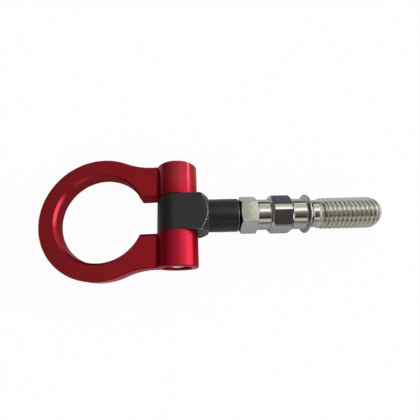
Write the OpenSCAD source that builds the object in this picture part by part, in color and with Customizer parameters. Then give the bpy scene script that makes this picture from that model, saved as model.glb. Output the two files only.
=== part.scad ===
// Folding tow hook: a forked ring that swings on a bolt through a swivel
// block, with a lock nut and a screwed adapter stud on the block's shank.
// Millimetres. The origin is on the stud's axis, where its towing thread
// begins. +X runs along the stud to its tip, +Y along the pivot bolt.
// The hook lies as on a floor: the ring hangs down until it touches it.

/* [Adapter stud] */
// Major diameter of the towing thread
thread_d = 17.7; // [12:0.1:30]
// Length of the towing thread, its rounded tip included
thread_len = 32.6; // [16:0.1:60]
// Length of the rounded tip
tip_len = 4.8; // [2:0.1:6]
// Diameter of the tip's end face
tip_d = 10.5; // [6:0.5:12]
// Length of the lead from the relief up to the thread's crests
lead_len = 3.2; // [0.5:0.1:4]
// Diameter of the plain relief between the collar and the thread
relief_d = 15.6; // [9:0.1:17]
// Length of that relief, up to the collar's cone
relief_len = 6; // [4.5:0.1:8]
// Diameter of the seating collar's rim
collar_d = 22.2; // [20:0.1:32]
// Thickness of the collar's rim
collar_rim = 0.6; // [0.4:0.1:4]
// Length of the cone that seats the collar, from its rim down to the relief
collar_cone_len = 2.7; // [2:0.1:7]
// Bevel behind the collar's rim
collar_bevel = 0.7; // [0.5:0.1:2.5]
// Diameter of the plain necks on both sides of the wrench section
neck_d = 17.5; // [16:0.1:19]
// Length of the front neck, behind the collar's bevel
front_neck_len = 7.6; // [3:0.1:12]
// Diameter of the round bar that the wrench section is cut from
hex_bar_d = 22; // [20:0.1:26]
// Width across the flats of the wrench section
hex_af = 20.4; // [19:0.1:21]
// Length of the wrench section
hex_len = 12.3; // [8:0.1:20]
// Bevel at both ends of the wrench section
hex_bevel = 1.5; // [0.4:0.1:2.2]
// Turn of the wrench section's flats about the stud
hex_turn = 25; // [-30:1:30]
// Length of the rear neck, between the wrench section and the lock nut
rear_neck_len = 7.2; // [3:0.1:12]
// Diameter of the fixing thread at the stud's rear
tail_d = 12; // [8:0.5:14]
// Length of the fixing thread inside the shank
tail_engaged_len = 13; // [8:0.5:14]
// Bevel at the fixing thread's end
tail_bevel = 1; // [0.5:0.1:1.5]

/* [Lock nut] */
// Width across the nut's flats
nut_af = 19; // [17:0.1:24]
// Thickness of the nut
nut_h = 9.4; // [6:0.1:12]
// Diameter of the nut's round end faces
nut_face_d = 18.4; // [16:0.1:20]
// Length of the cone that bevels the nut's corners at both faces
nut_bevel = 1.1; // [0.5:0.1:1.5]
// Turn of the nut about the stud
nut_turn = 4; // [-30:1:30]

/* [Swivel block] */
// Diameter of the shank
shank_d = 19; // [17:0.1:22]
// Length of the shank
shank_len = 17.9; // [16:0.1:60]
// Bevel at the shank's end
shank_bevel = 1.3; // [0.3:0.1:1.5]
// Width of the block, along the bolt
block_w = 20.8; // [18:0.1:24]
// Height of the block's flat faces, from one to the other
block_h = 22.4; // [20.2:0.1:22.8]
// Diameter of the block's round nose, about the bolt
nose_d = 22.8; // [22.8:0.1:26]
// Distance from the bolt's axis to the block's shoulder
block_reach = 17.6; // [15:0.1:30]
// Diameter of the turned shoulder's face
shoulder_d = 21.2; // [19.5:0.1:21.8]
// Depth of the tapped hole in the shank
tapped_depth = 16; // [15:0.5:18]

/* [Ring] */
// Outside diameter of the ring
ring_od = 72.7; // [70:0.1:100]
// Width of the ring's band, from the outside to the eye
band_w = 10.4; // [8:0.1:14]
// Thickness of the ring
ring_t = 10; // [8:0.1:14]
// Distance from the bolt's axis to the eye's centre
ring_reach = 44.5; // [42:0.5:70]
// Width over both arms
fork_w = 59.4; // [56:0.2:66]
// Bevel around the eye, on both faces
eye_bevel = 1.4; // [0.5:0.1:2]
// Bevel around the outside, on both faces
edge_bevel = 0.6; // [0.3:0.1:1]
// Radius of the hollow curve from the ring into each arm
arm_blend_r = 42; // [12:1:60]
// Diameter of the bosses that hold the bolt
boss_d = 23.4; // [21:0.1:28]
// Bevel at the bosses' outer ends
boss_bevel = 0.5; // [0.2:0.1:1]
// Radius of the blend between the ring's faces and the bosses
boss_blend_r = 1.8; // [0.8:0.1:3]

/* [Pivot bolt] */
// Diameter of the bolt
bolt_d = 8; // [6:0.5:10]
// Diameter of its domed head
head_d = 14; // [12:0.5:15]
// Height of its domed head
head_h = 4.4; // [3:0.1:6]
// Height of the straight edge below the dome
head_edge = 1; // [0.5:0.1:1.5]
// Width across the flats of the head's socket
socket_af = 5; // [4:0.5:6]
// Depth of the head's socket
socket_depth = 3; // [1.5:0.1:3.5]
// Depth of the head's top below the boss's end
head_sunk = 0.2; // [0:0.1:2]
// Depth of the bolt's end below the other boss's end
bolt_end_sunk = 1.5; // [0.5:0.1:4]

/* [Clearances] */
// Running clearance of the bolt in the block, on the radius
run_clear = 0.05; // [0.02:0.01:0.1]
// Clearance on each side of the block, between the arms
side_clear = 0.1; // [0.05:0.01:0.5]
// Clearance of the head in its seat, on the radius
head_clear = 1; // [0.3:0.1:1.2]

/* [Hidden] */
$fn = 64;

eps = 0.01;
over = 1;

// Places along X, worked out from the thread's beginning back to the bolt
cone_end_x = -relief_len;
rim_front_x = cone_end_x - collar_cone_len;
rim_back_x = rim_front_x - collar_rim;
bevel_back_x = rim_back_x - collar_bevel;
hex_front_x = bevel_back_x - front_neck_len;
hex_back_x = hex_front_x - hex_len;
nut_front_x = hex_back_x - rear_neck_len;
nut_back_x = nut_front_x - nut_h;
shoulder_x = nut_back_x - shank_len;
pin_x = shoulder_x - block_reach;
tip_x = thread_len;
tail_x = nut_back_x - tail_engaged_len;

// The tip is a ball's zone from the thread's crests to the tip's end face
tip_depth = (pow(tip_len, 2) + pow(thread_d / 2, 2) - pow(tip_d / 2, 2)) / (2 * tip_len);
tip_ball_r = norm([tip_depth, tip_d / 2]);
tip_angles = [atan2(thread_d / 2, tip_depth - tip_len), atan2(tip_d / 2, tip_depth)];
tip_steps = 6;

// Half sizes
thread_r = thread_d / 2;
shank_r = shank_d / 2;
nose_r = nose_d / 2;
ring_r = ring_od / 2;
eye_r = ring_r - band_w;
boss_r = boss_d / 2;
half_t = ring_t / 2;
half_fork = fork_w / 2;
gap_half = block_w / 2 + side_clear;
bolt_hole_r = bolt_d / 2 + run_clear;
shoulder_slope = 1.08;
// How far the fill beside an arm reaches into ring and arm
blend_root = 4;

// Angle that lets the ring's far edge down to the floor under the bosses
ring_far = ring_reach + ring_r - edge_bevel;
ring_droop = asin(boss_r / norm([ring_far, half_t])) - atan2(half_t, ring_far);

// The curve from the ring into an arm touches both: its centre is one blend
// radius outside the arm, and ring and blend radii from the eye's centre
blend_cy = half_fork + arm_blend_r;
blend_cx = sqrt(pow(ring_r + arm_blend_r, 2) - pow(blend_cy, 2)) - ring_reach;
touch_x = -ring_reach + (blend_cx + ring_reach) * ring_r / (ring_r + arm_blend_r);
touch_y = blend_cy * ring_r / (ring_r + arm_blend_r);

// The blend between a face of the ring and a boss
junction_cz = half_t + boss_blend_r;
junction_cx = sqrt(pow(boss_r + boss_blend_r, 2) - pow(junction_cz, 2));
junction_x = junction_cx * boss_r / (boss_r + boss_blend_r);
junction_z = junction_cz * boss_r / (boss_r + boss_blend_r);

// Turns a profile of [x, radius] points about the X axis
module turned(profile) {
    rotate([90, 0, 90]) rotate_extrude() polygon([for (p = profile) [p[1], p[0]]]);
}

// A disc about Z whose radius grows by bevel (or shrinks, if negative) at both faces
module bevelled_disc(r, bevel, t) {
    rotate_extrude() polygon([
        [0, -t / 2], [r + bevel, -t / 2], [r, -t / 2 + abs(bevel)],
        [r, t / 2 - abs(bevel)], [r + bevel, t / 2], [0, t / 2]
    ]);
}

// A bar along X from x0 to x1, its half width changed by bevel at both faces
module bevelled_bar(x0, x1, half_w, bevel, t) {
    translate([x0, 0, 0]) rotate([90, 0, 90]) linear_extrude(x1 - x0) polygon([
        for (s = [1, -1]) each [
            [s * (half_w + bevel), -s * t / 2], [s * half_w, -s * (t / 2 - abs(bevel))],
            [s * half_w, s * (t / 2 - abs(bevel))], [s * (half_w + bevel), s * t / 2]
        ]
    ]);
}

// Fills the corner between ring and arm, up to the hollow curve
module arm_blend() {
    difference() {
        translate([0, 0, -half_t]) linear_extrude(ring_t) polygon([
            [touch_x, touch_y], [blend_cx, half_fork], [blend_cx, half_fork - blend_root],
            [-ring_reach + (ring_r - blend_root) * (touch_x + ring_reach) / ring_r,
             (ring_r - blend_root) * touch_y / ring_r]
        ]);
        translate([blend_cx, blend_cy, 0]) bevelled_disc(arm_blend_r, edge_bevel, ring_t + 2 * eps);
    }
}

// The ring and its two arms, flat, before the bosses
module ring_plate() {
    difference() {
        union() {
            translate([-ring_reach, 0, 0]) bevelled_disc(ring_r, -edge_bevel, ring_t);
            bevelled_bar(-ring_reach, 0, half_fork, -edge_bevel, ring_t);
            arm_blend();
            mirror([0, 1, 0]) arm_blend();
        }
        translate([-ring_reach, 0, 0]) cylinder(r = eye_r, h = ring_t + over, center = true);
        for (side = [1, -1]) scale([1, 1, side]) translate([-ring_reach, 0, half_t - eye_bevel])
            cylinder(r1 = eye_r, r2 = eye_r + eye_bevel + over, h = eye_bevel + over);
        bevelled_bar(-ring_reach, over, gap_half, eye_bevel, ring_t);
        translate([-ring_reach, -gap_half, -ring_t])
            cube([ring_reach + over, 2 * gap_half, 2 * ring_t]);
    }
}

// One boss on the bolt's axis, from the block's side to its bevelled outer end
module boss() {
    rotate([-90, 0, 0]) rotate_extrude() polygon([
        [0, gap_half], [boss_r, gap_half], [boss_r, half_fork - boss_bevel],
        [boss_r - boss_bevel, half_fork], [0, half_fork]
    ]);
}

// The hollow blend between one face of the ring and a boss
module boss_blend() {
    translate([0, gap_half + eye_bevel, 0]) rotate([90, 0, 0]) mirror([0, 0, 1])
        linear_extrude(half_fork - gap_half - eye_bevel - edge_bevel) difference() {
            polygon([
                [-junction_cx, half_t], [-junction_cx, half_t - over],
                [-junction_x + over, half_t - over], [-junction_x + over, junction_z],
                [-junction_x, junction_z]
            ]);
            translate([-junction_cx, junction_cz]) circle(r = boss_blend_r);
        }
}

// A point of the tip's outline, as [x, radius], at a share of the way to the end face
function tip_point(share) =
    let (a = tip_angles[0] + (tip_angles[1] - tip_angles[0]) * share)
    [tip_x - tip_depth + tip_ball_r * cos(a), tip_ball_r * sin(a)];

module tow_ring() {
    color([0.62, 0.05, 0.08]) translate([pin_x, 0, 0]) rotate([0, -ring_droop, 0]) difference() {
        union() {
            ring_plate();
            for (side = [0, 1]) mirror([0, side, 0]) {
                boss();
                boss_blend();
                mirror([0, 0, 1]) boss_blend();
            }
        }
        // Plain hole for the bolt through both bosses
        rotate([90, 0, 0]) cylinder(r = bolt_hole_r, h = fork_w + over, center = true);
        // Seat of the bolt's head, in the boss at -Y
        translate([0, -half_fork + head_sunk + head_h, 0]) rotate([90, 0, 0])
            cylinder(r = head_d / 2 + head_clear, h = head_sunk + head_h + over);
    }
}

module pivot_bolt() {
    head_seat = half_fork - head_sunk - head_h;
    dome_h = head_h - head_edge;
    dome_r = (pow(head_d / 2, 2) + pow(dome_h, 2)) / (2 * dome_h);
    bolt_len = head_seat + half_fork - bolt_end_sunk;
    color([0.75, 0.75, 0.74]) translate([pin_x, -head_seat, 0]) rotate([90, 0, 0]) difference() {
        union() {
            translate([0, 0, -bolt_len]) cylinder(d = bolt_d, h = bolt_len + eps);
            intersection() {
                cylinder(d = head_d, h = head_h);
                translate([0, 0, head_h - dome_r]) sphere(r = dome_r);
            }
        }
        translate([0, 0, head_h - socket_depth])
            cylinder(d = socket_af / cos(30), h = socket_depth + over, $fn = 6);
    }
}

module swivel_block() {
    color([0.12, 0.12, 0.12]) difference() {
        union() {
            intersection() {
                translate([pin_x - nose_r, -block_w / 2, -block_h / 2])
                    cube([nose_r + block_reach, block_w, block_h]);
                union() {
                    translate([pin_x, 0, 0]) rotate([90, 0, 0])
                        cylinder(r = nose_r, h = block_w, center = true);
                    translate([pin_x, -block_w / 2, -block_h / 2])
                        cube([block_reach, block_w, block_h]);
                }
                // The lathe turns the block's rear corners to a cone
                turned([
                    [pin_x - nose_r - over, 0], [pin_x - nose_r - over, block_h],
                    [shoulder_x - (block_h - shoulder_d / 2) / shoulder_slope, block_h],
                    [shoulder_x, shoulder_d / 2], [shoulder_x, 0]
                ]);
            }
            turned([
                [shoulder_x - over, 0], [shoulder_x - over, shank_r],
                [nut_back_x - shank_bevel, shank_r], [nut_back_x, shank_r - shank_bevel],
                [nut_back_x, 0]
            ]);
        }
        translate([pin_x, 0, 0]) rotate([90, 0, 0])
            cylinder(r = bolt_hole_r, h = block_w + over, center = true);
        translate([nut_back_x - tapped_depth, 0, 0]) rotate([0, 90, 0])
            cylinder(r = tail_d / 2 + run_clear, h = tapped_depth + over);
    }
}

module jam_nut() {
    corner_r = nut_af / 2 / cos(30);
    color([0.72, 0.73, 0.70]) difference() {
        intersection() {
            translate([nut_back_x, 0, 0]) rotate([nut_turn, 0, 0]) rotate([0, 90, 0])
                rotate(30) cylinder(r = corner_r, h = nut_h, $fn = 6);
            turned([
                [nut_back_x, 0], [nut_back_x, nut_face_d / 2],
                [nut_back_x + nut_bevel, corner_r], [nut_front_x - nut_bevel, corner_r],
                [nut_front_x, nut_face_d / 2], [nut_front_x, 0]
            ]);
        }
        translate([nut_back_x - over, 0, 0]) rotate([0, 90, 0])
            cylinder(r = tail_d / 2 + run_clear, h = nut_h + 2 * over);
    }
}

module adapter_stud() {
    color([0.78, 0.77, 0.74]) union() {
        turned([
            [tail_x, 0], [tail_x, tail_d / 2 - tail_bevel], [tail_x + tail_bevel, tail_d / 2],
            [nut_front_x, tail_d / 2], [nut_front_x, neck_d / 2],
            [hex_back_x + over, neck_d / 2], [hex_back_x + over, 0]
        ]);
        intersection() {
            turned([
                [hex_back_x, 0], [hex_back_x, hex_bar_d / 2 - hex_bevel],
                [hex_back_x + hex_bevel, hex_bar_d / 2], [hex_front_x - hex_bevel, hex_bar_d / 2],
                [hex_front_x, hex_bar_d / 2 - hex_bevel], [hex_front_x, 0]
            ]);
            translate([hex_back_x - over, 0, 0]) rotate([hex_turn, 0, 0]) rotate([0, 90, 0])
                rotate(30) cylinder(r = hex_af / 2 / cos(30), h = hex_len + 2 * over, $fn = 6);
        }
        turned([
            [hex_front_x - over, 0], [hex_front_x - over, neck_d / 2],
            [bevel_back_x, neck_d / 2], [rim_back_x, collar_d / 2],
            [rim_front_x, collar_d / 2], [cone_end_x, relief_d / 2],
            [-lead_len, relief_d / 2], [0, thread_r],
            for (i = [0 : tip_steps]) tip_point(i / tip_steps),
            [tip_x, 0]
        ]);
    }
}

tow_ring();
pivot_bolt();
swivel_block();
jam_nut();
adapter_stud();
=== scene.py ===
"""A folding tow hook on a pale floor: red forked ring, black swivel block, lock nut and threaded stud.

The solids come packed from the part's source. This script adds the stud's cut thread, the rounded
edges of stud, block, nut and bolt, every finish, the studio and the camera. The shapes of stud and
nut are given in millimetres, and so is what a name ending in _mm says. The camera's place, the
floor and the places where a finish changes are in metres.
"""

import math

import bmesh
import bpy
import numpy as np
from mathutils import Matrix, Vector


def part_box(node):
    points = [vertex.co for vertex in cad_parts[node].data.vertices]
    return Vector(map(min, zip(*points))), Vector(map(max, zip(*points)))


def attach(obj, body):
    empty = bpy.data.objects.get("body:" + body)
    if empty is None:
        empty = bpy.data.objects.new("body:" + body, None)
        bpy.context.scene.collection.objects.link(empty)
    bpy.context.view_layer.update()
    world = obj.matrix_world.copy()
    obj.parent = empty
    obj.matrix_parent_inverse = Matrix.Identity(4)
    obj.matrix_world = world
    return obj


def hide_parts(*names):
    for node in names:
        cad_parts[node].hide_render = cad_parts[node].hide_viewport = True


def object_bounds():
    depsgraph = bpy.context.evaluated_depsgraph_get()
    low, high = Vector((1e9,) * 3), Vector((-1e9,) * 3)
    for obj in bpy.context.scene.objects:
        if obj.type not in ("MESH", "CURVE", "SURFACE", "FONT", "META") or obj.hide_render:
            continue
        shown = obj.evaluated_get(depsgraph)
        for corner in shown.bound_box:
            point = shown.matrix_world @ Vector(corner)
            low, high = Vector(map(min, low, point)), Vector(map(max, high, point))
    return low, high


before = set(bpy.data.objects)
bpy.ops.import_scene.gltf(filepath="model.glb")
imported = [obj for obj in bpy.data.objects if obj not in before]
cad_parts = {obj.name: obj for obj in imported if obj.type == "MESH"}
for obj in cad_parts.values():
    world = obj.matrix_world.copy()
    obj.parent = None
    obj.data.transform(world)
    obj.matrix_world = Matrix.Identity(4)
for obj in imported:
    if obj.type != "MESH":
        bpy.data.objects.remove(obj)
cad_box = [list(corner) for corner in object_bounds()]

MM = 0.001

# Camera, fitted to the outlines in the photograph
CAMERA_AT = (-0.07396, -0.04879, 0.15499)
CAMERA_TURN_DEG = (15.018, 0.052, -1.334)
CAMERA_LENS_MM = 24.16
CAMERA_SENSOR_MM = 36.0
CAMERA_SHIFT = (0.0406, 0.0438)
CAMERA_CLIP = (0.005, 20.0)

# Stud, from the frame and the part's source
TAIL_X, TIP_X = (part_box("adapter_stud")[i][0] / MM for i in (0, 1))
NUT_FRONT_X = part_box("jam_nut")[1][0] / MM
HEX_BACK_X = -29.9
HEX_FRONT_X = -17.6
COLLAR_BACK_X = -10.0
RIM_BACK_X = -9.3
RIM_FRONT_X = -8.7
CONE_END_X = -6.0
LEAD_START_X = -3.2
TIP_START_X = 27.8
TAIL_R = 6.0
TAIL_BEVEL = 1.0
NECK_R = 8.75
BAR_R = 11.0
HEX_BEVEL = 1.5
HEX_FLAT_R = 10.2
HEX_TURN_DEG = 25.0
COLLAR_R = 11.1
RELIEF_R = 7.8
THREAD_R = 8.85
TIP_R = 5.25

# Its thread: the depth, the length in which the groove deepens, half the crest, the flanks and the root
PITCH = 2.5
THREAD_DEPTH = 0.53 * PITCH
THREAD_FADE = 0.8 * PITCH
CREST_HALF = PITCH / 16
FLANK_DEG = 30
FLANK_SLOPE = 1 / math.tan(math.radians(FLANK_DEG))
ROOT_RADIUS = 0.144 * PITCH
ROOT_HALF = ROOT_RADIUS * math.cos(math.radians(FLANK_DEG))

# Grid of the stud: each sixth of a turn has one flat and one rounded corner
FLAT_STEPS = 6
CORNER_STEPS = 10
PLAIN_HALF_FLAT_DEG = 11.25

# Rows on a flank and over a root of the thread, and the ring within the tip's face
FLANK_ROWS = 5
ROOT_ROWS = 7
TIP_RING_SHARE = 0.6

# Mesh of the stud: what counts as on a flat, what is merged or dissolved, what is shaded sharp
ON_FLAT_MM = 0.001
STUD_WELD_MM = 0.002
STUD_SLIVER_MM = 0.001
STUD_SHARP_DEG = 14.0

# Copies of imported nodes: what is merged, what counts as coplanar, and the strips of a rounded edge
NODE_WELD_MM = 0.0005
COPLANAR_DEG = 0.4
EDGE_STRIPS = 3

# Lock nut: radius of its turned end faces, and how much of the solid's chamfers is left, rear and front
NUT_FACE_R = 9.21
NUT_CHAMFER_SHARE = (0.75, 0.4)

# Studio light, where 1 is the level at which a colour shows as it is written
# In the sky, X, Y and Z are parts of a unit direction
# A pair is where a change starts and ends; two numbers after it are the level before and after

# Ceiling: its light falls to the horizon, to the left and to the front, and dips beside the bands
OVERHEAD_LEVEL = 1.34
HORIZON_LEVEL = 0.28
FALL_POWER = 3.0
SIDE_FALL = (-0.45, 0.05, 0.90, 1.26)
MIDDLE_DIP = (0.11, 0.18, 1.0, 0.74)
FRONT_FALL = (-0.10, 0.45, 0.86, 1.08)
FRONT_LEVEL = 0.25
FRONT_FROM_Y = (-0.25, -0.80)

# Bands on the right: where they start and end along X, and how much sooner they start at the front
BANDS_FROM = (0.195, 0.235)
BANDS_TO = (0.62, 0.74)
BANDS_SLANT = 0.2
BANDS_SLANT_FROM_Y = (-0.02, -0.20)

# Each band's angle from overhead towards the back, in degrees, and its colour
BRIGHTEST = 3.4
BANDS = [
    (-95, (0.50, 0.45, 0.40)),
    (-74, (0.45, 0.38, 0.31)),
    (-68, (1.45, 1.42, 1.25)),
    (-52, (1.40, 1.38, 1.20)),
    (-46, (0.08, 0.07, 0.06)),
    (-34, (0.11, 0.10, 0.10)),
    (-26, (0.30, 0.23, 0.21)),
    (-14, (0.38, 0.33, 0.28)),
    (-8, (0.60, 0.60, 0.58)),
    (2, (0.75, 0.75, 0.72)),
    (10, (3.20, 3.20, 3.05)),
    (20, (3.20, 3.20, 3.05)),
    (32, (1.40, 1.44, 1.18)),
    (60, (1.30, 1.36, 1.05)),
    (64, (1.80, 1.80, 1.80)),
    (69, (1.80, 1.80, 1.80)),
    (75, (0.12, 0.14, 0.16)),
    (97, (0.12, 0.14, 0.16)),
]

# Broad lamp low on the right, and the bulb in it
LAMP_COLOUR = (1.0, 1.08, 1.24)
LAMP_LEVEL = 5.0
LAMP_FROM_X = (0.25, 0.78)
LAMP_FROM_Y = (-0.55, -0.20)
LAMP_TO_Y = (0.22, 0.50)
LAMP_TO_Z = (0.58, 0.84)
BULB_TOWARDS = (0.84, 0.45, 0.28)
BULB_LEVEL = 7.0
BULB_EDGE_DEG = (11, 4)

# White backdrop, in the sky for mirrored rays and on the floor, with the floor's reach and paint
BACKDROP_TO_Z = (-0.06, -0.03)
FLOOR_HALF = 0.7
FLOOR_BACK_Y = 0.42
FLOOR_PAINT = (0.71, 0.70, 0.67)

# Share of the floor that glows: for the camera, and in metal by the distance from the middle line, low near
# it as a painted shadow
CAMERA_GLOW = 0.96
METAL_GLOW = (0.06, 0.75)
METAL_PAINTED_SHADOW_EDGE_Y = (0.026, 0.045)

# What is left of the glow in metal, from the ring's side to the stud's, less along the stud as painted shade
METAL_PAINTED_SHADE_BY_STUD = (-0.03, 0.01, 1.0, 0.12)

# Range in which nearly all of a noise lies
NOISE_RANGE = (0.32, 0.68)

# Finishes, where two colours together are those between which the grain varies
# A grain is its scale, its detail, its lowest and highest value, and where it has one, its stretch
# A relief is its strength and its depth in millimetres

# Red ring: pale plate (a painted sheen), deep plate and turned bosses, with where each gives way to the next
PAINTED_SHEEN_RED = ((0.212, 0.0042, 0.0078), (0.233, 0.0048, 0.0086))
DEEP_RED = ((0.201, 0.0004, 0.0052), (0.221, 0.0005, 0.0060))
TURNED_RED = ((0.225, 0.0008, 0.0092), (0.246, 0.0009, 0.0104))
PAINTED_SHEEN_TO_X = (-0.135, -0.095)
BOSS_FROM_X = (-0.0945, -0.0932)
RED_CLOUD = (70, 3, 0, 1)
RED_ROUGHNESS = (1500, 3, 0.34, 0.40)
RED_RINGS = (1, 2, 0, 1, (60, 1400, 60))
RED_RELIEF = (0.35, 0.006)

# Its clear skin: on the plate, the near boss and the far boss
PLATE_COAT = 0.20
NEAR_BOSS_COAT = 0.16
FAR_BOSS_COAT = 0.40
FAR_BOSS_FROM_Y = (0.010, 0.022)

# Its eye: centre, axis, and the chamfers by their distance from that axis
EYE_CENTRE = (-0.12634, 0.0, -0.003725)
EYE_AXIS = (-0.08371, 0.0, 0.99649)
EYE_CHAMFER = (0.0260, 0.0275)
EYE_CHAMFER_SOFT = 0.2 * MM
# painted highlight: a brighter red for the eye's chamfers
EYE_CHAMFER_PAINTED_HIGHLIGHT = (0.268, 0.0072, 0.0158)
EYE_CHAMFER_SMOOTHER = 0.07

# Black block: its specks, the metal on rubbed edges, and where along the stud rubbing starts
BLACK = ((0.0015, 0.0015, 0.0015), (0.0040, 0.0040, 0.0040))
BLACK_SPECKS = (1800, 2, 0, 1)
BLACK_ROUGHNESS = (1300, 3, 0.36, 0.44)
RUBBED_METAL = (0.46, 0.45, 0.39)
RUBBED_METALLIC = 0.9
RUBBED_FROM_X = (-0.074, -0.069)
RUBBED_PATCHES = (900, 4, 0.3, 1.0)
BLASTED_GRAIN = (2200, 2, 0, 1)
BLASTED_RELIEF = (0.25, 0.01)

# Zinc of the lock nut: its top face painted darker and yellower as a painted reflection, grey on the others,
# bright where it is rubbed
PAINTED_TOP_FACE_ZINC = ((0.208, 0.211, 0.166), (0.250, 0.253, 0.199))
GREY_ZINC = ((0.283, 0.291, 0.273), (0.339, 0.348, 0.327))
PAINTED_TOP_FACE_EDGE_Y = (0.0050, 0.0058)
RUBBED_ZINC = (0.52, 0.52, 0.50)
RUBBED_ZINC_SHARE = 0.6
ZINC_CLOUD = (650, 4, 0, 1)
ZINC_ROUGHNESS = (900, 4, 0.20, 0.32)
ZINC_GRAIN = (1600, 3, 0, 1)
ZINC_RELIEF = (0.2, 0.012)

# Steel of the stud: turned, milled, the thread's painted sheen from near to far side, and the cone's painted
# shade
TURNED_STEEL = ((0.305, 0.300, 0.280), (0.335, 0.330, 0.310))
MILLED_STEEL = ((0.19, 0.20, 0.205), (0.33, 0.34, 0.345))
THREAD_PAINTED_SHEEN_STEEL = ((0.43, 0.42, 0.36), (0.455, 0.475, 0.435))
THREAD_PAINTED_SHEEN_FROM_Y = (0.0, 0.004)
THREAD_ROUGHER = 0.09
# painted shade: dark brown on the seating cone, and where it starts and ends
CONE_PAINTED_SHADE = (0.055, 0.043, 0.034)
CONE_PAINTED_SHADE_FROM_X = (-0.0088, -0.0084)
CONE_PAINTED_SHADE_TO_X = (-0.0063, -0.0060)
TURNED_CLOUD = (500, 3, 0, 1)
MILLED_MOTTLE = (1300, 4, 0, 1)
STEEL_ROUGHNESS = (700, 3, 0.07, 0.13)
MILLED_ROUGHER = (1100, 4, 0.01, 0.08)
STEEL_RINGS = (1, 2, 0, 1, (2600, 40, 40))
STEEL_RELIEF = (0.3, 0.004)

# Plating of the bolt
BOLT_STEEL = ((0.40, 0.40, 0.38), (0.50, 0.50, 0.48))
BOLT_CLOUD = (800, 3, 0, 1)
BOLT_ROUGHNESS = (1000, 3, 0.16, 0.28)
BOLT_GRAIN = (1800, 2, 0, 1)
BOLT_RELIEF = (0.15, 0.008)


def rounded_outline(corners, steps=6):
    """Outline with rounded corners.

    Each corner is (x, r, radius). An arc of that radius replaces the corner: it touches both
    sides at radius * tan(half the turn) from the corner, and its middle lies on the bisector.
    """
    points = [np.array(corners[0][:2], dtype=float)]
    for before, here, after in zip(corners, corners[1:], corners[2:]):
        p = np.array(here[:2], dtype=float)
        u = np.array(before[:2]) - p
        v = np.array(after[:2]) - p
        u /= np.linalg.norm(u)
        v /= np.linalg.norm(v)
        half = math.acos(np.clip(u @ v, -1, 1)) / 2
        if here[2] <= 0:
            points.append(p)
            continue
        centre = p + (u + v) / np.linalg.norm(u + v) * here[2] / math.sin(half)
        start = p + u * here[2] / math.tan(half) - centre
        end = p + v * here[2] / math.tan(half) - centre
        sweep = math.pi - 2 * half
        t = np.linspace(0, 1, steps + 1)[:, None]
        points.extend(centre + (np.sin((1 - t) * sweep) * start + np.sin(t * sweep) * end) / math.sin(sweep))
    points.append(np.array(corners[-1][:2], dtype=float))
    return np.array(points)


def refined(outline, longest=0.7):
    """The same outline with points added on its straight stretches, so none is longer than longest."""
    parts = []
    for a, b in zip(outline, outline[1:]):
        count = max(1, int(np.ceil(np.linalg.norm(b - a) / longest)))
        parts.append(a + (b - a) * np.linspace(0, 1, count, endpoint=False)[:, None])
    parts.append(outline[-1:])
    return np.vstack(parts)


def turn_angles(half_flat):
    """Angles about the stud for rows whose flats reach half_flat to each side of their middle.

    A sixth of a turn is a flat in FLAT_STEPS parts, then a rounded corner in CORNER_STEPS parts.
    """
    half_flat = np.atleast_1d(half_flat)[:, None, None]
    middle = math.radians(HEX_TURN_DEG) + np.arange(6)[None, :, None] * math.pi / 3
    on_flat = np.linspace(-1, 1, FLAT_STEPS, endpoint=False)[None, None, :] * half_flat
    share = np.linspace(0, 1, CORNER_STEPS, endpoint=False)[None, None, :]
    on_corner = half_flat + share * (math.pi / 3 - 2 * half_flat)
    angles = np.concatenate([on_flat + 0 * middle, on_corner + 0 * middle], axis=2) + middle
    return angles.reshape(len(half_flat), -1)


def flat_reach(x, r):
    """Half angle of a flat on rows at x with radius r: acos(flat distance / r) on the wrench section.

    Below the flats' distance it closes evenly towards the necks, where it is the plain value.
    """
    plain = math.radians(PLAIN_HALF_FLAT_DEG)
    reach = np.full(len(x), plain)
    bar = (x >= HEX_BACK_X) & (x <= HEX_FRONT_X)
    cut = bar & (r > HEX_FLAT_R)
    reach[cut] = np.arccos(HEX_FLAT_R / r[cut])
    low = bar & (r <= HEX_FLAT_R)
    reach[low] = plain * np.clip((HEX_FLAT_R - r[low]) / (HEX_FLAT_R - NECK_R), 0, 1)
    return reach


def thread_radius(x, angle):
    """Radius of the cut thread at x and angle.

    The distance d to the nearest crest of the right-handed helix gives it: the crest is flat for
    CREST_HALF, the flank falls by FLANK_SLOPE * d, and an arc of ROOT_RADIUS rounds the root. The
    groove starts with no depth at the lead and is full THREAD_FADE later. The result is never
    above the envelope of lead cone, plain crests and the tip's ball.
    """
    d = np.abs((x - PITCH * angle / (2 * math.pi) + PITCH / 2) % PITCH - PITCH / 2)
    drop = FLANK_SLOPE * np.clip(d - CREST_HALF, 0, None)
    e = np.clip(PITCH / 2 - d, 0, ROOT_RADIUS)
    arc = THREAD_DEPTH - ROOT_RADIUS + np.sqrt(ROOT_RADIUS ** 2 - e ** 2)
    drop = np.where(e < ROOT_HALF, arc, drop)
    fade = np.clip((x - LEAD_START_X) / THREAD_FADE, 0, 1)
    drop = drop * fade * fade * (3 - 2 * fade)
    lead = RELIEF_R + (THREAD_R - RELIEF_R) * np.clip((x - LEAD_START_X) / -LEAD_START_X, 0, 1)
    length = TIP_X - TIP_START_X
    depth = (length ** 2 + THREAD_R ** 2 - TIP_R ** 2) / (2 * length)
    ball = np.sqrt(np.clip(depth ** 2 + TIP_R ** 2 - np.clip(x - TIP_X + depth, 0, None) ** 2, 0, None))
    return np.minimum(THREAD_R - drop, np.minimum(lead, ball))


def ring_points(x, r, angle):
    """Points at x, radius r and angle, which is measured from +Z towards -Y about the stud."""
    return np.stack([x + 0 * r, -r * np.sin(angle), r * np.cos(angle)], axis=-1) * MM


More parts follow.
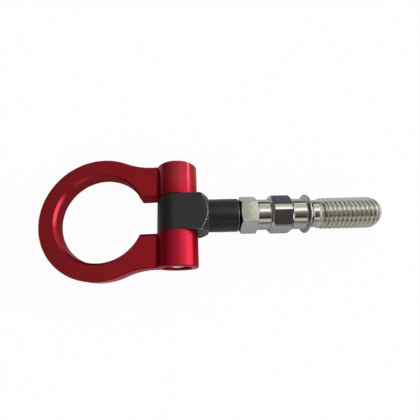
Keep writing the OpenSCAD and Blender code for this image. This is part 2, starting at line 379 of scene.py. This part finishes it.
def turned_rows():
    """Rows of points from the stud's tail to its relief, and which of them lie on milled flats.

    Each row goes round at the radius of the turned outline. On the wrench section that radius is
    at most HEX_FLAT_R / cos(angle from the middle of the flat).
    """
    outline = refined(rounded_outline([
        (TAIL_X, 0.0, 0),
        (TAIL_X, TAIL_R - TAIL_BEVEL, 0),
        (TAIL_X + TAIL_BEVEL, TAIL_R, 0),
        (NUT_FRONT_X, TAIL_R, 0),
        (NUT_FRONT_X, NECK_R, 0.35),
        (HEX_BACK_X, NECK_R, 0.3),
        (HEX_BACK_X, BAR_R - HEX_BEVEL, 0.15),
        (HEX_BACK_X + HEX_BEVEL, BAR_R, 0.2),
        (HEX_FRONT_X - HEX_BEVEL, BAR_R, 0.2),
        (HEX_FRONT_X, BAR_R - HEX_BEVEL, 0.15),
        (HEX_FRONT_X, NECK_R, 0.3),
        (COLLAR_BACK_X, NECK_R, 0.5),
        (RIM_BACK_X, COLLAR_R, 0.35),
        (RIM_FRONT_X, COLLAR_R, 0.35),
        (CONE_END_X, RELIEF_R, 0.15),
        (LEAD_START_X, RELIEF_R, 0),
    ]))
    x, r = outline[:, 0], outline[:, 1]
    angle = turn_angles(flat_reach(x, r))
    radius = np.broadcast_to(r[:, None], angle.shape)
    sixth = (angle - math.radians(HEX_TURN_DEG) + math.pi / 6) % (math.pi / 3) - math.pi / 6
    on_bar = ((x >= HEX_BACK_X) & (x <= HEX_FRONT_X))[:, None]
    flat = HEX_FLAT_R / np.cos(sixth)
    milled = on_bar & (flat < radius + ON_FLAT_MM)
    radius = np.where(on_bar, np.minimum(radius, flat), radius)
    return ring_points(x[:, None], radius, angle), milled


def thread_rows(angle):
    """Rows of points along the thread, at the angles of one turn and at the first one again.

    A row starts at a whole number of pitches plus an offset and climbs by the pitch in its turn,
    as the crest does. With one offset for each line of the profile, the thread's edges stay crisp.
    """
    flank = np.linspace(CREST_HALF, PITCH / 2 - ROOT_HALF, FLANK_ROWS)
    root = PITCH / 2 - np.linspace(ROOT_HALF, -ROOT_HALF, ROOT_ROWS)[1:-1]
    offsets = np.concatenate([[-CREST_HALF], flank, root, PITCH - flank[::-1][:-1]])
    turns = np.arange(math.floor(LEAD_START_X / PITCH) - 2, math.ceil(TIP_X / PITCH) + 1)
    starts = (turns[:, None] * PITCH + offsets[None, :]).ravel()
    phase = PITCH * angle[0, 0] / (2 * math.pi)
    lift = PITCH * ((angle - angle[0, 0]) / (2 * math.pi))
    lift = np.concatenate([lift, [[PITCH]]], axis=1)
    angle = np.concatenate([angle, angle[:, :1] + 2 * math.pi], axis=1)
    x = np.clip(starts[:, None] + phase + lift, LEAD_START_X, TIP_X)
    return ring_points(x, thread_radius(x, angle), angle)


def threaded_stud(material):
    """The stud as one surface: its turned rows, the rows of its thread and rings across its tip."""
    turned, milled = turned_rows()
    angle = turn_angles(math.radians(PLAIN_HALF_FLAT_DEG))
    thread = thread_rows(angle)
    radius = np.array([TIP_R, TIP_R * TIP_RING_SHARE, 0.0])[:, None]
    tip = ring_points(np.full((3, 1), TIP_X), radius + 0 * angle, angle + 0 * radius)
    strips = [(turned, True), (thread, False), (tip, True)]
    cut = np.concatenate([np.full(rows[..., 0].size, rows is thread) for rows, _ in strips])
    flat = np.concatenate([milled.ravel(), np.zeros(len(cut) - milled.size)])
    return join_rows("threaded_stud", strips, {"milled": flat, "cut": cut}, material)


def join_rows(name, strips, masks, material):
    """One mesh from strips of rows; a strip marked closed also joins its last column to its first.

    masks holds a value for each point under each name, for the finish.
    """
    points = []
    faces = []
    first = 0
    for rows, closed in strips:
        count, around = rows.shape[:2]
        index = first + np.arange(count * around).reshape(count, around)
        if closed:
            index = np.concatenate([index, index[:, :1]], axis=1)
        quads = [index[:-1, :-1], index[:-1, 1:], index[1:, 1:], index[1:, :-1]]
        faces.append(np.stack(quads, axis=-1).reshape(-1, 4))
        points.append(rows.reshape(-1, 3))
        first += count * around
    mesh = bpy.data.meshes.new(name)
    mesh.from_pydata(np.vstack(points), [], np.vstack(faces))
    for label, values in masks.items():
        mesh.attributes.new(label, "FLOAT", "POINT").data.foreach_set("value", values.astype(np.float32))
    work = bmesh.new()
    work.from_mesh(mesh)
    bmesh.ops.remove_doubles(work, verts=work.verts, dist=STUD_WELD_MM * MM)
    bmesh.ops.dissolve_degenerate(work, edges=work.edges, dist=STUD_SLIVER_MM * MM)
    bmesh.ops.recalc_face_normals(work, faces=work.faces)
    return finished_piece(name, mesh, work, STUD_SHARP_DEG, material)


def finished_piece(name, mesh, work, sharp_deg, material):
    """Puts the edited form into the mesh, shades it smooth up to sharp_deg and makes it a piece."""
    work.to_mesh(mesh)
    work.free()
    mesh.polygons.foreach_set("use_smooth", np.ones(len(mesh.polygons), dtype=bool))
    mesh.set_sharp_from_angle(angle=math.radians(sharp_deg))
    mesh.materials.clear()
    mesh.materials.append(material)
    piece = bpy.data.objects.new(name, mesh)
    bpy.context.scene.collection.objects.link(piece)
    return piece


def milder_chamfers(work):
    """Moves the nut's corners along X towards its nearer end, so the chamfers drop less there.

    A corner outside NUT_FACE_R keeps NUT_CHAMFER_SHARE of its distance from that end.
    """
    ends = [(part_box("jam_nut")[i][0], NUT_CHAMFER_SHARE[i]) for i in (0, 1)]
    for vert in work.verts:
        end, share = min(ends, key=lambda pair: abs(vert.co.x - pair[0]))
        if math.hypot(vert.co.y, vert.co.z) > NUT_FACE_R * MM:
            vert.co.x = end + (vert.co.x - end) * share


def softened(name, node, width_mm, turn_deg, sharp_deg, material):
    """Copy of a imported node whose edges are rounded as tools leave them.

    The loose triangles are merged and the coplanar ones joined, and the nut gets its milder
    chamfers. Each edge that turns more than turn_deg becomes an arc of EDGE_STRIPS strips that
    starts width_mm from the edge on both faces. Edges that then turn more than sharp_deg are
    shaded sharp. The new faces carry the value 1 in the attribute worn, for the finish.
    """
    mesh = bpy.data.meshes.new(name)
    work = bmesh.new()
    work.from_mesh(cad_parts[node].data)
    bmesh.ops.remove_doubles(work, verts=work.verts, dist=NODE_WELD_MM * MM)
    bmesh.ops.dissolve_limit(work, angle_limit=math.radians(COPLANAR_DEG), verts=work.verts, edges=work.edges)
    if node == "jam_nut":
        milder_chamfers(work)
    worn = work.faces.layers.float.new("worn")
    edges = [edge for edge in work.edges if edge.calc_face_angle(0) > math.radians(turn_deg)]
    arcs = bmesh.ops.bevel(work, geom=edges, offset=width_mm * MM, offset_type="OFFSET", segments=EDGE_STRIPS,
                           profile=0.5, affect="EDGES", clamp_overlap=True, material=-1)
    for face in arcs["faces"]:
        face[worn] = 1.0
    return finished_piece(name, mesh, work, sharp_deg, material)


def grain_group():
    """Node group for grain and marks: a noise of the given scale and detail, spread from Low to High."""
    group = bpy.data.node_groups.new("surface grain", "ShaderNodeTree")
    group.interface.new_socket("Place", in_out="INPUT", socket_type="NodeSocketVector")
    for label in ("Scale", "Detail", "Low", "High"):
        group.interface.new_socket(label, in_out="INPUT", socket_type="NodeSocketFloat")
    group.interface.new_socket("Value", in_out="OUTPUT", socket_type="NodeSocketFloat")
    nodes, links = group.nodes, group.links
    inside = nodes.new("NodeGroupInput")
    outside = nodes.new("NodeGroupOutput")
    noise = nodes.new("ShaderNodeTexNoise")
    limits = nodes.new("ShaderNodeMapRange")
    limits.inputs["From Min"].default_value, limits.inputs["From Max"].default_value = NOISE_RANGE
    links.new(inside.outputs["Place"], noise.inputs["Vector"])
    links.new(inside.outputs["Scale"], noise.inputs["Scale"])
    links.new(inside.outputs["Detail"], noise.inputs["Detail"])
    links.new(noise.outputs["Fac"], limits.inputs["Value"])
    links.new(inside.outputs["Low"], limits.inputs["To Min"])
    links.new(inside.outputs["High"], limits.inputs["To Max"])
    links.new(limits.outputs["Result"], outside.inputs["Value"])
    return group


GRAIN = grain_group()


def new_material(name, base, metallic, roughness):
    """A material with a Principled shader; returns the material and the shader node."""
    material = bpy.data.materials.new(name)
    material.use_nodes = True
    shader = material.node_tree.nodes["Principled BSDF"]
    shader.inputs["Base Color"].default_value = (*base, 1)
    shader.inputs["Metallic"].default_value = metallic
    shader.inputs["Roughness"].default_value = roughness
    return material, shader


def grain(material, scale, detail, low, high, stretch=(1, 1, 1)):
    """Grain between low and high on the piece's own coordinates; stretch scales them along X, Y, Z."""
    nodes, links = material.node_tree.nodes, material.node_tree.links
    place = nodes.new("ShaderNodeTexCoord")
    stretched = nodes.new("ShaderNodeMapping")
    stretched.inputs["Scale"].default_value = stretch
    node = nodes.new("ShaderNodeGroup")
    node.node_tree = GRAIN
    links.new(place.outputs["Object"], stretched.inputs["Vector"])
    links.new(stretched.outputs["Vector"], node.inputs["Place"])
    for label, value in (("Scale", scale), ("Detail", detail), ("Low", low), ("High", high)):
        node.inputs[label].default_value = value
    return node.outputs["Value"]


def feed(tree, socket, value):
    """Gives a socket its value: a number, a colour of three numbers, or another node's output."""
    if isinstance(value, tuple):
        socket.default_value = (*value, 1)
    elif isinstance(value, (int, float)):
        socket.default_value = value
    else:
        tree.links.new(value, socket)


def blend_colours(material, share, first, second):
    """Colour between first and second by share; each colour is three numbers or an output."""
    tree = material.node_tree
    mix = tree.nodes.new("ShaderNodeMix")
    mix.data_type = "RGBA"
    feed(tree, mix.inputs["Factor"], share)
    feed(tree, mix.inputs[6], first)
    feed(tree, mix.inputs[7], second)
    return mix.outputs[2]


def math_node(tree, operation, *values):
    """Result of a Math node; each value is a number or an output."""
    node = tree.nodes.new("ShaderNodeMath")
    node.operation = operation
    for socket, value in zip(node.inputs, values):
        feed(tree, socket, value)
    return node.outputs["Value"]


def product(tree, *values):
    """Product of two or more values, each a number or an output."""
    total = values[0]
    for value in values[1:]:
        total = math_node(tree, "MULTIPLY", total, value)
    return total


def eased(tree, value, start, end, low=0.0, high=1.0):
    """Smooth step of value from low at start to high at end."""
    node = tree.nodes.new("ShaderNodeMapRange")
    node.interpolation_type = "SMOOTHSTEP"
    tree.links.new(value, node.inputs["Value"])
    for label, number in (("From Min", start), ("From Max", end), ("To Min", low), ("To Max", high)):
        node.inputs[label].default_value = number
    return node.outputs["Result"]


def between(tree, value, rise, fall):
    """Mask that rises smoothly from 0 to 1 over the pair rise and falls back over the pair fall."""
    return product(tree, eased(tree, value, *rise), eased(tree, value, *fall, 1.0, 0.0))


def surface_mask(material, label):
    """The mask that a mesh carries under this name."""
    node = material.node_tree.nodes.new("ShaderNodeAttribute")
    node.attribute_name = label
    return node.outputs["Fac"]


def object_axes(material):
    """A point's own X, Y and Z, in metres."""
    nodes = material.node_tree.nodes
    place = nodes.new("ShaderNodeTexCoord")
    axes = nodes.new("ShaderNodeSeparateXYZ")
    material.node_tree.links.new(place.outputs["Object"], axes.inputs["Vector"])
    return axes.outputs


def eye_chamfer(material):
    """Mask of the eye's chamfers: the points EYE_CHAMFER metres from the eye's axis, |(p - c) x a|."""
    tree = material.node_tree
    place = tree.nodes.new("ShaderNodeTexCoord")
    away = tree.nodes.new("ShaderNodeVectorMath")
    away.operation = "SUBTRACT"
    away.inputs[1].default_value = EYE_CENTRE
    tree.links.new(place.outputs["Object"], away.inputs[0])
    across = tree.nodes.new("ShaderNodeVectorMath")
    across.operation = "CROSS_PRODUCT"
    across.inputs[1].default_value = EYE_AXIS
    tree.links.new(away.outputs["Vector"], across.inputs[0])
    length = tree.nodes.new("ShaderNodeVectorMath")
    length.operation = "LENGTH"
    tree.links.new(across.outputs["Vector"], length.inputs[0])
    start, end = EYE_CHAMFER
    rise = (start, start + EYE_CHAMFER_SOFT)
    return between(tree, length.outputs["Value"], rise, (end - EYE_CHAMFER_SOFT, end))


def add_bump(material, shader, height, strength, depth_mm):
    """Small relief from a height between 0 and 1."""
    nodes, links = material.node_tree.nodes, material.node_tree.links
    bump = nodes.new("ShaderNodeBump")
    bump.inputs["Strength"].default_value = strength
    bump.inputs["Distance"].default_value = depth_mm * MM
    links.new(height, bump.inputs["Height"])
    links.new(bump.outputs["Normal"], shader.inputs["Normal"])


def red_anodised():
    """Deep red anodised aluminium: dyed satin metal under a thin clear skin, with fine turning marks.

    The plate is painted paler at the ring's far end and deeper towards the arms, a painted sheen;
    the eye's chamfers are painted a brighter red, a painted highlight; the turned bosses have a tone
    of their own, the chamfers are smoother, and the far boss has the thickest skin.
    """
    material, shader = new_material("red anodised aluminium", (0.220, 0.0020, 0.0078),
                                    metallic=1.0, roughness=0.37)
    tree = material.node_tree
    shader.inputs["Specular Tint"].default_value = (1.0, 0.35, 0.40, 1)
    shader.inputs["Coat Roughness"].default_value = 0.14
    axes = object_axes(material)
    boss = eased(tree, axes["X"], *BOSS_FROM_X)
    far_boss = product(tree, boss, eased(tree, axes["Y"], *FAR_BOSS_FROM_Y))
    chamfer = eye_chamfer(material)
    cloud = grain(material, *RED_CLOUD)
    pale, deep, turned = (blend_colours(material, cloud, *pair) for pair in (PAINTED_SHEEN_RED, DEEP_RED, TURNED_RED))
    # painted sheen: the plate is paler towards the ring's far end
    plate = blend_colours(material, eased(tree, axes["X"], *PAINTED_SHEEN_TO_X), pale, deep)
    # painted highlight: the eye's chamfers get the brighter red
    plate = blend_colours(material, chamfer, plate, EYE_CHAMFER_PAINTED_HIGHLIGHT)
    tree.links.new(blend_colours(material, boss, plate, turned), shader.inputs["Base Color"])
    coat = math_node(tree, "MULTIPLY_ADD", boss, NEAR_BOSS_COAT - PLATE_COAT, PLATE_COAT)
    coat = math_node(tree, "MULTIPLY_ADD", far_boss, FAR_BOSS_COAT - NEAR_BOSS_COAT, coat)
    tree.links.new(coat, shader.inputs["Coat Weight"])
    smoother = product(tree, chamfer, -EYE_CHAMFER_SMOOTHER)
    rough = math_node(tree, "ADD", grain(material, *RED_ROUGHNESS), smoother)
    tree.links.new(rough, shader.inputs["Roughness"])
    add_bump(material, shader, grain(material, *RED_RINGS), *RED_RELIEF)
    return material


def black_satin():
    """Black anodised aluminium with a blasted grain; the dye is thin on the rounded edges."""
    material, shader = new_material("black anodised aluminium", (0.003, 0.003, 0.003),
                                    metallic=0.0, roughness=0.40)
    tree = material.node_tree
    shader.inputs["Specular IOR Level"].default_value = 0.28
    patches = grain(material, *RUBBED_PATCHES)
    near_shank = eased(tree, object_axes(material)["X"], *RUBBED_FROM_X)
    worn = product(tree, surface_mask(material, "worn"), patches, near_shank)
    speckle = blend_colours(material, grain(material, *BLACK_SPECKS), *BLACK)
    tree.links.new(blend_colours(material, worn, speckle, RUBBED_METAL), shader.inputs["Base Color"])
    tree.links.new(product(tree, worn, RUBBED_METALLIC), shader.inputs["Metallic"])
    tree.links.new(grain(material, *BLACK_ROUGHNESS), shader.inputs["Roughness"])
    add_bump(material, shader, grain(material, *BLASTED_GRAIN), *BLASTED_RELIEF)
    return material


def dull_zinc():
    """Zinc plate of the lock nut, a little cloudy, painted darker and yellower on top as a painted
    reflection, brighter where rubbed.
    """
    material, shader = new_material("zinc plate", (0.295, 0.30, 0.26), metallic=1.0, roughness=0.34)
    tree = material.node_tree
    cloud = grain(material, *ZINC_CLOUD)
    painted_top, grey = (blend_colours(material, cloud, *pair) for pair in (PAINTED_TOP_FACE_ZINC, GREY_ZINC))
    aside = math_node(tree, "ABSOLUTE", object_axes(material)["Y"])
    # painted reflection: the top face is darker and yellower than the sides
    plating_with_painted_top = blend_colours(material, eased(tree, aside, *PAINTED_TOP_FACE_EDGE_Y), painted_top, grey)
    worn = product(tree, surface_mask(material, "worn"), RUBBED_ZINC_SHARE)
    tree.links.new(blend_colours(material, worn, plating_with_painted_top, RUBBED_ZINC), shader.inputs["Base Color"])
    tree.links.new(grain(material, *ZINC_ROUGHNESS), shader.inputs["Roughness"])
    add_bump(material, shader, grain(material, *ZINC_GRAIN), *ZINC_RELIEF)
    return material


def turned_steel():
    """Bright turned steel of the stud: fine rings round its axis, and mottled milled flats.

    The thread is duller and painted paler, more on its far side, a painted sheen; the seating cone
    is painted dark brown, a painted shade.
    """
    material, shader = new_material("bright turned steel", (0.32, 0.315, 0.295), metallic=1.0, roughness=0.10)
    tree = material.node_tree
    milled = surface_mask(material, "milled")
    cut = surface_mask(material, "cut")
    axes = object_axes(material)
    smooth = blend_colours(material, grain(material, *TURNED_CLOUD), *TURNED_STEEL)
    mottle = blend_colours(material, grain(material, *MILLED_MOTTLE), *MILLED_STEEL)
    # painted sheen: the thread is paler than the turned steel, and paler again on its far side
    thread = blend_colours(material, eased(tree, axes["Y"], *THREAD_PAINTED_SHEEN_FROM_Y), *THREAD_PAINTED_SHEEN_STEEL)
    smooth = blend_colours(material, cut, smooth, thread)
    # painted shade: the seating cone is painted dark brown
    painted_cone_shade = between(tree, axes["X"], CONE_PAINTED_SHADE_FROM_X, CONE_PAINTED_SHADE_TO_X)
    smooth = blend_colours(material, painted_cone_shade, smooth, CONE_PAINTED_SHADE)
    tree.links.new(blend_colours(material, milled, smooth, mottle), shader.inputs["Base Color"])
    flats = product(tree, milled, grain(material, *MILLED_ROUGHER))
    rough = math_node(tree, "ADD", flats, grain(material, *STEEL_ROUGHNESS))
    rough = math_node(tree, "ADD", rough, product(tree, cut, THREAD_ROUGHER))
    tree.links.new(rough, shader.inputs["Roughness"])
    add_bump(material, shader, grain(material, *STEEL_RINGS), *STEEL_RELIEF)
    return material


def bolt_finish():
    """Plated steel of the pivot bolt."""
    material, shader = new_material("plated bolt steel", (0.44, 0.44, 0.42), metallic=1.0, roughness=0.22)
    tree = material.node_tree
    cloud = grain(material, *BOLT_CLOUD)
    tree.links.new(blend_colours(material, cloud, *BOLT_STEEL), shader.inputs["Base Color"])
    tree.links.new(grain(material, *BOLT_ROUGHNESS), shader.inputs["Roughness"])
    add_bump(material, shader, grain(material, *BOLT_GRAIN), *BOLT_RELIEF)
    return material


def backdrop_rays(tree):
    """Two masks: rays from the camera, and rays mirrored by metal or seen through glass."""
    path = tree.nodes.new("ShaderNodeLightPath")
    mirrored = math_node(tree, "MAXIMUM", path.outputs["Is Glossy Ray"], path.outputs["Is Transmission Ray"])
    return path.outputs["Is Camera Ray"], mirrored


def blend_shaders(tree, share, first, second):
    """Shader between first and second by share."""
    mix = tree.nodes.new("ShaderNodeMixShader")
    for socket, output in zip(mix.inputs, (share, first, second)):
        tree.links.new(output, socket)
    return mix.outputs["Shader"]


def sky_light(tree, colour, strength):
    """Light from the sky; its colour and its strength are values or outputs."""
    light = tree.nodes.new("ShaderNodeBackground")
    feed(tree, light.inputs["Color"], colour)
    feed(tree, light.inputs["Strength"], strength)
    return light.outputs["Background"]


def ceiling(tree, x, y, z):
    """Plain white light that rises from the horizon to overhead with z ** FALL_POWER.

    It is weaker on the left, in front and beside the bands. Low in front, FRONT_LEVEL is added.
    """
    height = math_node(tree, "POWER", math_node(tree, "MAXIMUM", z, 0.0), FALL_POWER)
    level = math_node(tree, "MULTIPLY_ADD", height, OVERHEAD_LEVEL - HORIZON_LEVEL, HORIZON_LEVEL)
    falls = ((x, SIDE_FALL), (x, MIDDLE_DIP), (y, FRONT_FALL))
    level = product(tree, level, *[eased(tree, axis, *fall) for axis, fall in falls])
    front = eased(tree, y, *FRONT_FROM_Y, 0.0, FRONT_LEVEL)
    return sky_light(tree, (1, 1, 1), math_node(tree, "ADD", level, front))


def banded_side(tree, y, z):
    """Long strips side by side: lamps, their reflectors and the dark room between them.

    The angle atan2(y, z) from overhead towards the back picks the colour from BANDS.
    """
    angle = math_node(tree, "ARCTAN2", y, z)
    share = math_node(tree, "ADD", math_node(tree, "DIVIDE", angle, 2 * math.pi), 0.5)
    ramp = tree.nodes.new("ShaderNodeValToRGB")
    tree.links.new(share, ramp.inputs["Fac"])
    elements = ramp.color_ramp.elements
    while len(elements) < len(BANDS):
        elements.new(0.5)
    for element, (degrees, colour) in zip(elements, BANDS):
        element.position = (degrees + 180) / 360
        element.color = (*[level / BRIGHTEST for level in colour], 1)
    return sky_light(tree, ramp.outputs["Color"], BRIGHTEST)


def low_lamp(tree, towards, x, y, z):
    """Light of the broad lamp low on the right with the bulb in it, and the mask of both.

    The bulb is where the direction's angle from BULB_TOWARDS is within BULB_EDGE_DEG.
    """
    aim = tree.nodes.new("ShaderNodeVectorMath")
    aim.operation = "DOT_PRODUCT"
    tree.links.new(towards, aim.inputs[0])
    aim.inputs[1].default_value = [part / math.hypot(*BULB_TOWARDS) for part in BULB_TOWARDS]
    edge = [math.cos(math.radians(degrees)) for degrees in BULB_EDGE_DEG]
    bulb = eased(tree, aim.outputs["Value"], *edge)
    extra = product(tree, bulb, BULB_LEVEL - LAMP_LEVEL)
    low_right = product(tree, eased(tree, x, *LAMP_FROM_X), eased(tree, z, *LAMP_TO_Z, 1.0, 0.0))
    broad = product(tree, low_right, between(tree, y, LAMP_FROM_Y, LAMP_TO_Y))
    light = sky_light(tree, LAMP_COLOUR, math_node(tree, "ADD", extra, LAMP_LEVEL))
    return light, math_node(tree, "MAXIMUM", broad, bulb)


def studio_world():
    """Soft studio round the object, with a white backdrop.

    The ceiling fills it but for a sector on the right, from BANDS_FROM to BANDS_TO along X, which
    has the bands; it starts up to BANDS_SLANT sooner in front. Before both stands the low lamp.
    The backdrop is white wherever the camera looks, and below the horizon for mirrored rays.
    """
    world = bpy.data.worlds.new("studio")
    world.use_nodes = True
    tree = world.node_tree
    tree.nodes.clear()
    place = tree.nodes.new("ShaderNodeTexCoord")
    axes = tree.nodes.new("ShaderNodeSeparateXYZ")
    tree.links.new(place.outputs["Generated"], axes.inputs["Vector"])
    x, y, z = (axes.outputs[label] for label in "XYZ")

    slanted = math_node(tree, "ADD", x, eased(tree, y, *BANDS_SLANT_FROM_Y, 0.0, BANDS_SLANT))
    rightward = product(tree, eased(tree, slanted, *BANDS_FROM), eased(tree, x, *BANDS_TO, 1.0, 0.0))
    sky = blend_shaders(tree, rightward, ceiling(tree, x, y, z), banded_side(tree, y, z))

    lamp, lamp_mask = low_lamp(tree, place.outputs["Generated"], x, y, z)
    sky = blend_shaders(tree, lamp_mask, sky, lamp)

    camera_ray, mirrored = backdrop_rays(tree)
    low = product(tree, mirrored, eased(tree, z, *BACKDROP_TO_Z, 1.0, 0.0))
    backdrop = math_node(tree, "MAXIMUM", camera_ray, low)
    sky = blend_shaders(tree, backdrop, sky, sky_light(tree, (1, 1, 1), 1.0))
    tree.links.new(sky, tree.nodes.new("ShaderNodeOutputWorld").inputs["Surface"])
    bpy.context.scene.world = world


def pale_floor():
    """A white floor under the hook. It glows for the camera and in metal, and keeps the shadow.

    In metal the glow rises from the first METAL_GLOW near the middle line to the second beside it,
    and is weaker along the stud: a painted shadow of the hook, seen in metal.
    """
    front, back, height = -FLOOR_HALF, FLOOR_BACK_Y, cad_box[0][2]
    across = ((-FLOOR_HALF, front), (FLOOR_HALF, front), (FLOOR_HALF, back), (-FLOOR_HALF, back))
    mesh = bpy.data.meshes.new("floor")
    mesh.from_pydata([(*corner, height) for corner in across], [], [(0, 1, 2, 3)])
    floor = bpy.data.objects.new("floor", mesh)
    bpy.context.scene.collection.objects.link(floor)
    material, shader = new_material("white floor", FLOOR_PAINT, metallic=0.0, roughness=1.0)
    shader.inputs["Specular IOR Level"].default_value = 0.0
    tree = material.node_tree
    axes = object_axes(material)
    aside = math_node(tree, "ABSOLUTE", axes["Y"])
    camera_ray, mirrored = backdrop_rays(tree)
    # painted shadow: in metal the floor glows less near the hook's middle line and along the stud
    in_metal = product(tree, mirrored, eased(tree, aside, *METAL_PAINTED_SHADOW_EDGE_Y, *METAL_GLOW))
    in_metal = product(tree, in_metal, eased(tree, axes["X"], *METAL_PAINTED_SHADE_BY_STUD))
    share = math_node(tree, "ADD", in_metal, product(tree, camera_ray, CAMERA_GLOW))
    glow = tree.nodes.new("ShaderNodeEmission")
    glow.inputs["Color"].default_value = (1, 1, 1, 1)
    shown = blend_shaders(tree, share, shader.outputs["BSDF"], glow.outputs["Emission"])
    tree.links.new(shown, tree.nodes["Material Output"].inputs["Surface"])
    mesh.materials.append(material)


def finish_node(name, material):
    """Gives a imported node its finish."""
    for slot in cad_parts[name].material_slots:
        slot.material = material


def set_camera():
    """The photograph's camera."""
    data = bpy.data.cameras.new("camera")
    data.lens = CAMERA_LENS_MM
    data.sensor_width = CAMERA_SENSOR_MM
    data.shift_x, data.shift_y = CAMERA_SHIFT
    data.clip_start, data.clip_end = CAMERA_CLIP
    camera = bpy.data.objects.new("camera", data)
    camera.location = CAMERA_AT
    camera.rotation_euler = [math.radians(a) for a in CAMERA_TURN_DEG]
    bpy.context.scene.collection.objects.link(camera)
    bpy.context.scene.camera = camera


stud = threaded_stud(turned_steel())
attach(stud, "stud")
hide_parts("adapter_stud")
for name, node, body, slot, width_mm, turn_deg, sharp_deg, finish in (
        ("soft_edged_block", "swivel_block", "stud", "black_block", 0.25, 20, 9, black_satin()),
        ("soft_edged_nut", "jam_nut", "stud", "zinc_nut", 0.34, 12, 24, dull_zinc()),
        ("soft_edged_bolt", "pivot_bolt", "ring", "bolt_steel", 0.20, 20, 24, bolt_finish())):
    piece = softened(name, node, width_mm, turn_deg, sharp_deg, finish)
    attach(piece, body)
    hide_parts(node)
finish_node("tow_ring", red_anodised())

studio_world()
pale_floor()
set_camera()
bpy.context.scene.view_settings.view_transform = "Standard"
